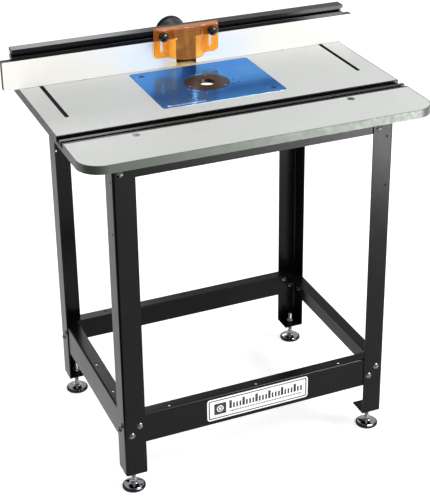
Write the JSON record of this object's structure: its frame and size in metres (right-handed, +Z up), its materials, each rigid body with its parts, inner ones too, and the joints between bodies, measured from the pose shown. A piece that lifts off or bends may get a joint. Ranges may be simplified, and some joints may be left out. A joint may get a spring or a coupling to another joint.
{
  "type": "router table",
  "caption": "Floor-standing router table: laminated top with an insert plate and mitre track, a sliding fence with an amber bit guard, and a bolted steel stand on levelling feet.",
  "frame": {"origin": "on the floor, under the centre of the table top", "axes": "+X along the fence to the right as seen by the user, +Y from the user to the fence, +Z up"},
  "size_m": [0.88, 0.6096, 0.957],
  "materials": {
    "board_core": "raw fibreboard",
    "face_board": "fibreboard with black sealed edges",
    "grey_laminate": "fine-textured high pressure laminate",
    "white_laminate": "smooth laminate",
    "edge_strip": "satin edge strip",
    "black_anodised": "satin black anodised extrusion",
    "blue_anodised": "glossy blue anodised plate",
    "brown_phenolic": "machined phenolic",
    "zinc_steel": "zinc plated",
    "black_bolt": "black oxide, semi-gloss",
    "chrome_steel": "polished chrome",
    "black_steel": "semi-gloss black powder coat",
    "badge_face": "white printed plate",
    "amber_plastic": "clear amber polycarbonate",
    "port_plastic": "moulded black plastic",
    "knob_plastic": "polished black plastic"
  },
  "bodies": {
    "table": {"badge_plate": "badge_face", "combo_track": "black_anodised", "edge_band": "edge_strip", "foot_lock_nuts": "zinc_steel", "frame_bolts": "black_bolt", "frame_nuts": "zinc_steel", "insert_ring": "brown_phenolic", "insert_ring_screws": "zinc_steel", "leg_back_left": "black_steel", "leg_back_right": "black_steel", "leg_front_left": "black_steel", "leg_front_right": "black_steel", "plate_levelers": "zinc_steel", "plate_screws": "zinc_steel", "router_plate": "blue_anodised", "stretcher_back": "black_steel", "stretcher_front": "black_steel", "stretcher_left": "black_steel", "stretcher_right": "black_steel", "table_core": "board_core", "top_cleat_back": "black_steel", "top_cleat_front": "black_steel", "top_laminate": "grey_laminate", "top_rail_back": "black_steel", "top_rail_front": "black_steel", "top_rail_left": "black_steel", "top_rail_right": "black_steel", "top_screw_nuts": "zinc_steel", "top_screws": "zinc_steel", "track_screws": "zinc_steel", "underside_laminate": "grey_laminate"},
    "fence": {"fence_rail": "black_anodised", "dust_port": "port_plastic", "dust_port_screws": "zinc_steel", "fence_clamp_bolts": "zinc_steel", "fence_clamp_washers": "zinc_steel"},
    "guard_carriage": {"guard_t_bolts": "zinc_steel"},
    "bit_guard": {"bit_guard": "amber_plastic"},
    "fence_face_left": {"fence_face_left": "face_board", "face_laminate_left": "white_laminate"},
    "clamp_knob_left": {"clamp_knob_left": "knob_plastic"},
    "guard_knob_left": {"guard_knob_left": "knob_plastic"},
    "face_knob_left_inner": {"face_knob_left_inner": "knob_plastic"},
    "face_knob_left_outer": {"face_knob_left_outer": "knob_plastic"},
    "fence_face_right": {"fence_face_right": "face_board", "face_laminate_right": "white_laminate"},
    "clamp_knob_right": {"clamp_knob_right": "knob_plastic"},
    "guard_knob_right": {"guard_knob_right": "knob_plastic"},
    "face_knob_right_inner": {"face_knob_right_inner": "knob_plastic"},
    "face_knob_right_outer": {"face_knob_right_outer": "knob_plastic"},
    "foot_pad_front_left": {"foot_pad_front_left": "chrome_steel"},
    "foot_stem_front_left": {"foot_stem_front_left": "zinc_steel"},
    "foot_pad_front_right": {"foot_pad_front_right": "chrome_steel"},
    "foot_stem_front_right": {"foot_stem_front_right": "zinc_steel"},
    "foot_pad_back_left": {"foot_pad_back_left": "chrome_steel"},
    "foot_stem_back_left": {"foot_stem_back_left": "zinc_steel"},
    "foot_pad_back_right": {"foot_pad_back_right": "chrome_steel"},
    "foot_stem_back_right": {"foot_stem_back_right": "zinc_steel"}
  },
  "joints": [
    {"name": "fence_slide", "type": "slide", "parent": "table", "child": "fence", "axis": [0, 1, 0], "range_m": [-0.239, 0.014]},
    {"name": "guard_shift", "type": "slide", "parent": "fence", "child": "guard_carriage", "axis": [1, 0, 0], "range_m": [-0.3, 0.3]},
    {"name": "guard_lift", "type": "slide", "parent": "guard_carriage", "child": "bit_guard", "axis": [0, 0, 1], "range_m": [0, 0.038]},
    {"name": "face_slide_left", "type": "slide", "parent": "fence", "child": "fence_face_left", "axis": [1, 0, 0], "range_m": [-0.029, 0.0215]},
    {"name": "clamp_knob_left_turn", "type": "hinge", "parent": "fence", "child": "clamp_knob_left", "pos_m": [-0.354, 0.225, 0.8645], "axis": [0, 0, 1], "continuous": true},
    {"name": "guard_knob_left_turn", "type": "hinge", "parent": "guard_carriage", "child": "guard_knob_left", "pos_m": [-0.061, 0.16, 0.9385], "axis": [0, 1, 0], "continuous": true},
    {"name": "face_knob_left_inner_turn", "type": "hinge", "parent": "fence_face_left", "child": "face_knob_left_inner", "pos_m": [-0.105, 0.205, 0.892], "axis": [0, 1, 0], "continuous": true},
    {"name": "face_knob_left_outer_turn", "type": "hinge", "parent": "fence_face_left", "child": "face_knob_left_outer", "pos_m": [-0.28, 0.205, 0.892], "axis": [0, 1, 0], "continuous": true},
    {"name": "face_slide_right", "type": "slide", "parent": "fence", "child": "fence_face_right", "axis": [-1, 0, 0], "range_m": [-0.029, 0.0215]},
    {"name": "clamp_knob_right_turn", "type": "hinge", "parent": "fence", "child": "clamp_knob_right", "pos_m": [0.354, 0.225, 0.8645], "axis": [0, 0, 1], "continuous": true},
    {"name": "guard_knob_right_turn", "type": "hinge", "parent": "guard_carriage", "child": "guard_knob_right", "pos_m": [0.061, 0.16, 0.9385], "axis": [0, 1, 0], "continuous": true},
    {"name": "face_knob_right_inner_turn", "type": "hinge", "parent": "fence_face_right", "child": "face_knob_right_inner", "pos_m": [0.105, 0.205, 0.892], "axis": [0, 1, 0], "continuous": true},
    {"name": "face_knob_right_outer_turn", "type": "hinge", "parent": "fence_face_right", "child": "face_knob_right_outer", "pos_m": [0.28, 0.205, 0.892], "axis": [0, 1, 0], "continuous": true},
    {"name": "foot_height_front_left", "type": "slide", "parent": "table", "child": "foot_pad_front_left", "axis": [0, 0, 1], "range_m": [0, 0.025]},
    {"name": "foot_screw_front_left", "type": "hinge", "parent": "foot_pad_front_left", "child": "foot_stem_front_left", "pos_m": [-0.304, -0.22, 0], "axis": [0, 0, 1], "range_deg": [-6001, 6001]},
    {"name": "foot_height_front_right", "type": "slide", "parent": "table", "child": "foot_pad_front_right", "axis": [0, 0, 1], "range_m": [0, 0.025]},
    {"name": "foot_screw_front_right", "type": "hinge", "parent": "foot_pad_front_right", "child": "foot_stem_front_right", "pos_m": [0.304, -0.22, 0], "axis": [0, 0, 1], "range_deg": [-6001, 6001]},
    {"name": "foot_height_back_left", "type": "slide", "parent": "table", "child": "foot_pad_back_left", "axis": [0, 0, 1], "range_m": [0, 0.025]},
    {"name": "foot_screw_back_left", "type": "hinge", "parent": "foot_pad_back_left", "child": "foot_stem_back_left", "pos_m": [-0.304, 0.22, 0], "axis": [0, 0, 1], "range_deg": [-6001, 6001]},
    {"name": "foot_height_back_right", "type": "slide", "parent": "table", "child": "foot_pad_back_right", "axis": [0, 0, 1], "range_m": [0, 0.025]},
    {"name": "foot_screw_back_right", "type": "hinge", "parent": "foot_pad_back_right", "child": "foot_stem_back_right", "pos_m": [0.304, 0.22, 0], "axis": [0, 0, 1], "range_deg": [-6001, 6001]}
  ],
  "couplings": [
    {"joint": "foot_screw_front_left", "follows": "foot_height_front_left", "rad_per_m": 4188.8},
    {"joint": "foot_screw_front_right", "follows": "foot_height_front_right", "rad_per_m": 4188.8},
    {"joint": "foot_screw_back_left", "follows": "foot_height_back_left", "rad_per_m": 4188.8},
    {"joint": "foot_screw_back_right", "follows": "foot_height_back_right", "rad_per_m": 4188.8}
  ]
}
